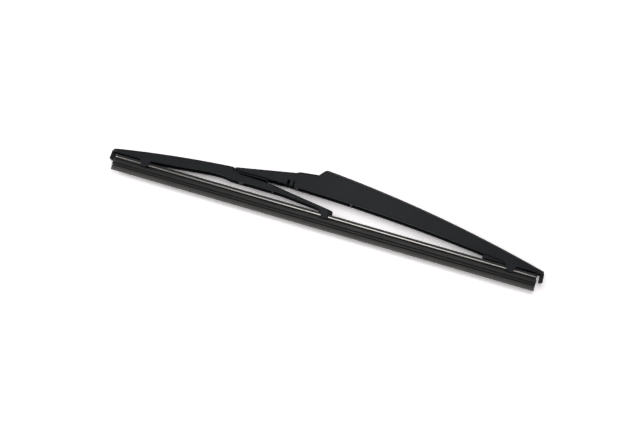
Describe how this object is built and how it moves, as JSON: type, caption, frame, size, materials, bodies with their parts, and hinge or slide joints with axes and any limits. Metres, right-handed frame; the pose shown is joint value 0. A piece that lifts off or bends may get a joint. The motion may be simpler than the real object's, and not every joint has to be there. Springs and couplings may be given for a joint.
{
  "type": "rear wiper blade",
  "caption": "Black rear windscreen wiper blade: a long moulded lever with a humped back, a short rocking lever pivoted to its tip, and a rubber strip with steel spring rails held by claws.",
  "frame": {"origin": "centre of the arm pin, on the blade's middle plane", "axes": "+X along the blade from the rocking lever towards the far end of the long lever, +Y from the wiping lip towards the blade's back, +Z across the blade along the arm pin, upwards as the blade lies on its side"},
  "size_m": [0.307, 0.0419, 0.01],
  "materials": {
    "lever_plastic": "fine grained matte black",
    "blade_rubber": "matte",
    "rail_steel": "bright rolled spring steel",
    "pin_steel": "plain turned",
    "dark_pin": "blackened steel"
  },
  "bodies": {
    "blade": {"primary_lever": "lever_plastic", "arm_pin": "pin_steel", "wiping_rubber": "blade_rubber", "upper_rail": "rail_steel", "lower_rail": "rail_steel"},
    "rocker": {"secondary_lever": "lever_plastic", "pivot_pin": "dark_pin"}
  },
  "joints": [
    {"name": "lever_pivot", "type": "hinge", "parent": "blade", "child": "rocker", "pos_m": [-0.0555, -0.0094, 0], "axis": [0, 0, 1], "range_deg": [-5, 3], "deforming": ["wiping_rubber", "upper_rail", "lower_rail"]}
  ]
}
